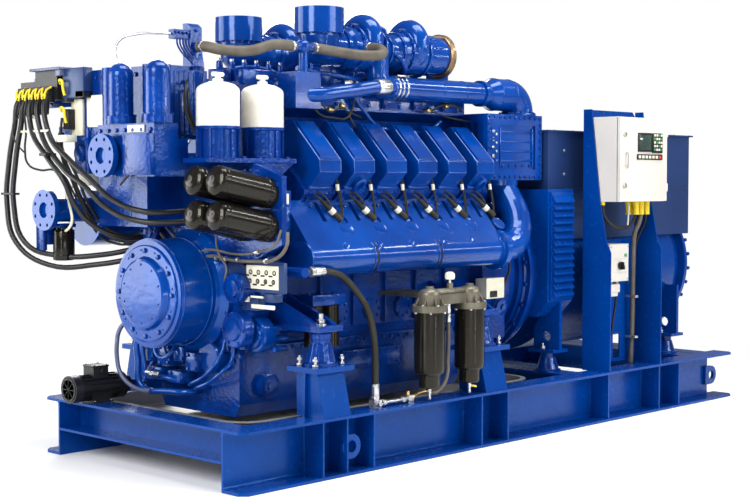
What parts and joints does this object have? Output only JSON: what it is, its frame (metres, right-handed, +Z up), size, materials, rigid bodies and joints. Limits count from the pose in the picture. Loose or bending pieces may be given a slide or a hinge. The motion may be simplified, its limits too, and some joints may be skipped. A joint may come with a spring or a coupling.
{
  "type": "marine diesel generator set",
  "caption": "V engine with twin turbochargers coupled to a box-framed alternator on a steel channel skid, with filters, cooler, wiring and a control cabinet.",
  "frame": {"origin": "centre of the skid on the floor, under the middle of the hold-down bolt pattern", "axes": "+X from the engine's free end towards the alternator, +Y across to the far side, +Z up"},
  "size_m": [4.394, 1.861, 2.3],
  "materials": {
    "frame_paint": "gloss dark blue paint",
    "engine_paint": "gloss royal blue engine paint",
    "tray_steel": "dull stainless",
    "bronze_metal": "bare bronze",
    "bare_casting": "bare casting",
    "bare_steel": "machined",
    "black_paint": "gloss black",
    "black_plastic": "matt black",
    "black_rubber": "matt black",
    "cream_paint": "gloss cream",
    "slate_paint": "satin slate blue",
    "grey_paint": "fine textured light grey"
  },
  "bodies": {
    "generator_set": {"rail_near": "frame_paint", "rail_far": "frame_paint", "front_cross_beam": "frame_paint", "inner_beams": "frame_paint", "rear_cross_beam": "frame_paint", "drip_tray": "tray_steel", "engine_pedestals": "frame_paint", "engine_mounts": "engine_paint", "engine_feet": "engine_paint", "oil_sump": "engine_paint", "crankcase": "engine_paint", "gear_case": "engine_paint", "damper_housing": "engine_paint", "damper_cover": "engine_paint", "flywheel_housing": "engine_paint", "adaptor_disc": "frame_paint", "cylinder_heads": "engine_paint", "valve_covers": "engine_paint", "manifolds": "engine_paint", "charge_elbows": "engine_paint", "cooler_bracket": "engine_paint", "charge_air_cooler": "engine_paint", "cooler_covers": "engine_paint", "crossover_pipes": "engine_paint", "exhaust_casing": "engine_paint", "turbochargers": "engine_paint", "exhaust_outlets": "bronze_metal", "intake_stubs": "engine_paint", "filter_carrier": "engine_paint", "filter_bowls": "cream_paint", "spin_on_filters": "black_paint", "heat_exchanger": "engine_paint", "thermostat_tanks": "engine_paint", "water_flanges": "engine_paint", "control_unit": "black_plastic", "priming_pump": "black_plastic", "side_filters": "black_paint", "prefilter_head": "bare_casting", "prefilter_bowls": "black_paint", "fuel_line": "bare_steel", "hoses": "black_rubber", "wiring_harness": "black_rubber", "alternator_frame": "frame_paint", "alternator_louvres": "frame_paint", "alternator_end_bell": "frame_paint", "alternator_feet": "frame_paint", "alternator_mounts": "engine_paint", "terminal_box": "slate_paint", "stand_plates": "frame_paint", "stand_back": "frame_paint", "control_cabinet": "grey_paint", "isolator_box": "grey_paint"},
    "cabinet_door": {"cabinet_door": "grey_paint"},
    "isolator_handle": {"isolator_handle": "black_plastic"}
  },
  "joints": [
    {"name": "cabinet_door_hinge", "type": "hinge", "parent": "generator_set", "child": "cabinet_door", "pos_m": [1.236, -0.841, 1.546], "axis": [0, 0, 1], "range_deg": [0, 110]},
    {"name": "isolator_knob", "type": "hinge", "parent": "generator_set", "child": "isolator_handle", "pos_m": [0.919, -0.723, 0.9095], "axis": [0, -1, 0], "range_deg": [0, 90]}
  ]
}
